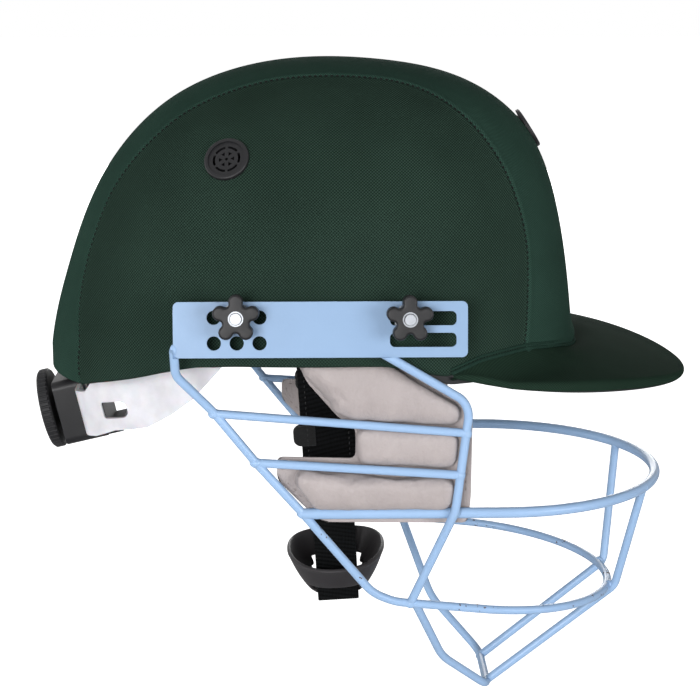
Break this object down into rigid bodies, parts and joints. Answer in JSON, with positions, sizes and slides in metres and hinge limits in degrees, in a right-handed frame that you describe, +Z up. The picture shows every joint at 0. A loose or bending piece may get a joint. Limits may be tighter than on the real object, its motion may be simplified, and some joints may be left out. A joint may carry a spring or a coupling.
{
  "type": "cricket helmet",
  "caption": "Cloth covered cricket helmet with a peak, a bolted wire face grille, padded cheek pieces, a chin strap with cup and a rear dial that tightens the head band.",
  "frame": {"origin": "centre of the head opening, at the height of the rim", "axes": "+X forward over the peak, +Y to the wearer's left, +Z up to the crown"},
  "size_m": [0.3151, 0.2294, 0.3091],
  "materials": {
    "cloth_side": "dark green woven cloth",
    "cloth_strip": "dark green woven cloth",
    "shell_plastic": "moulded",
    "liner_foam": "moulded foam",
    "comfort_foam": "cloth faced foam",
    "black_plastic": "satin",
    "plate_paint": "satin paint",
    "grille_paint": "satin paint",
    "zinc_steel": "zinc plated",
    "spacer_plastic": "matt",
    "cheek_leather": "soft pressed grain",
    "webbing": "narrow woven",
    "strap_tab": "stitched webbing",
    "band_plastic": "satin"
  },
  "bodies": {
    "helmet": {"side_cover_right": "cloth_side", "side_cover_left": "cloth_side", "crown_cover": "cloth_strip", "peak_cover": "cloth_strip", "shell": "shell_plastic", "peak_board": "shell_plastic", "impact_liner": "liner_foam", "brow_pad": "comfort_foam", "rear_pad": "comfort_foam", "crown_pad": "comfort_foam", "side_vent_right": "black_plastic", "side_vent_left": "black_plastic", "front_vent": "black_plastic", "housing_cover": "black_plastic", "dial_housing": "black_plastic", "side_plate_right": "plate_paint", "side_plate_left": "plate_paint", "lower_ring": "grille_paint", "upper_ring": "grille_paint", "chin_hoop": "grille_paint", "front_bar_right": "grille_paint", "front_bar_left": "grille_paint", "upper_rail_right": "grille_paint", "upper_rail_left": "grille_paint", "middle_rail_right": "grille_paint", "middle_rail_left": "grille_paint", "nose_bar_right": "grille_paint", "nose_bar_left": "grille_paint", "guard_bolts": "zinc_steel", "guard_washers": "zinc_steel", "tongue_rivet": "zinc_steel", "strap_anchors": "zinc_steel", "guard_spacers": "spacer_plastic", "cheek_pad_upper_right": "cheek_leather", "cheek_pad_upper_left": "cheek_leather", "cheek_pad_middle_right": "cheek_leather", "cheek_pad_middle_left": "cheek_leather", "cheek_pad_lower_right": "cheek_leather", "cheek_pad_lower_left": "cheek_leather", "cheek_pad_inner_right": "cheek_leather", "cheek_pad_inner_left": "cheek_leather", "cheek_sheet_right": "cheek_leather", "cheek_sheet_left": "cheek_leather"},
    "dial": {"dial_knob": "black_plastic", "dial_pinion": "band_plastic"},
    "band_right": {"band_arm_right": "band_plastic"},
    "band_left": {"band_arm_left": "band_plastic"},
    "chin_strap": {"strap_hanger_right": "webbing", "strap_hanger_left": "webbing", "chin_webbing": "webbing", "chin_cup": "black_plastic", "strap_tabs": "strap_tab"},
    "knob_front_right_turning": {"knob_front_right": "black_plastic", "knob_insert_front_right": "zinc_steel"},
    "knob_front_left_turning": {"knob_front_left": "black_plastic", "knob_insert_front_left": "zinc_steel"},
    "knob_rear_right_turning": {"knob_rear_right": "black_plastic", "knob_insert_rear_right": "zinc_steel"},
    "knob_rear_left_turning": {"knob_rear_left": "black_plastic", "knob_insert_rear_left": "zinc_steel"}
  },
  "joints": [
    {"name": "dial_turn", "type": "hinge", "parent": "helmet", "child": "dial", "pos_m": [-0.1309, 0, -0.0368], "axis": [0.9744, 0, 0.225], "range_deg": [0, 68]},
    {"name": "band_right_slide", "type": "slide", "parent": "helmet", "child": "band_right", "axis": [0, 1, 0], "range_m": [0, 0.005]},
    {"name": "band_left_slide", "type": "slide", "parent": "helmet", "child": "band_left", "axis": [0, -1, 0], "range_m": [0, 0.005]},
    {"name": "chin_strap_swing", "type": "hinge", "parent": "helmet", "child": "chin_strap", "pos_m": [0.003, 0, 0.023], "axis": [0, 1, 0], "range_deg": [-8, 24]},
    {"name": "knob_front_right_turn", "type": "hinge", "parent": "helmet", "child": "knob_front_right_turning", "pos_m": [0.041, -0.10053, 0.02775], "axis": [0, -0.9903, 0.1392], "continuous": true},
    {"name": "knob_front_left_turn", "type": "hinge", "parent": "helmet", "child": "knob_front_left_turning", "pos_m": [0.041, 0.10053, 0.02775], "axis": [0, 0.9903, 0.1392], "continuous": true},
    {"name": "knob_rear_right_turn", "type": "hinge", "parent": "helmet", "child": "knob_rear_right_turning", "pos_m": [-0.0338, -0.10045, 0.02835], "axis": [0, -0.9903, 0.1392], "continuous": true},
    {"name": "knob_rear_left_turn", "type": "hinge", "parent": "helmet", "child": "knob_rear_left_turning", "pos_m": [-0.0338, 0.10045, 0.02835], "axis": [0, 0.9903, 0.1392], "continuous": true}
  ],
  "couplings": [
    {"joint": "band_right_slide", "follows": "dial_turn", "m_per_rad": 0.0042},
    {"joint": "band_left_slide", "follows": "dial_turn", "m_per_rad": 0.0042}
  ]
}
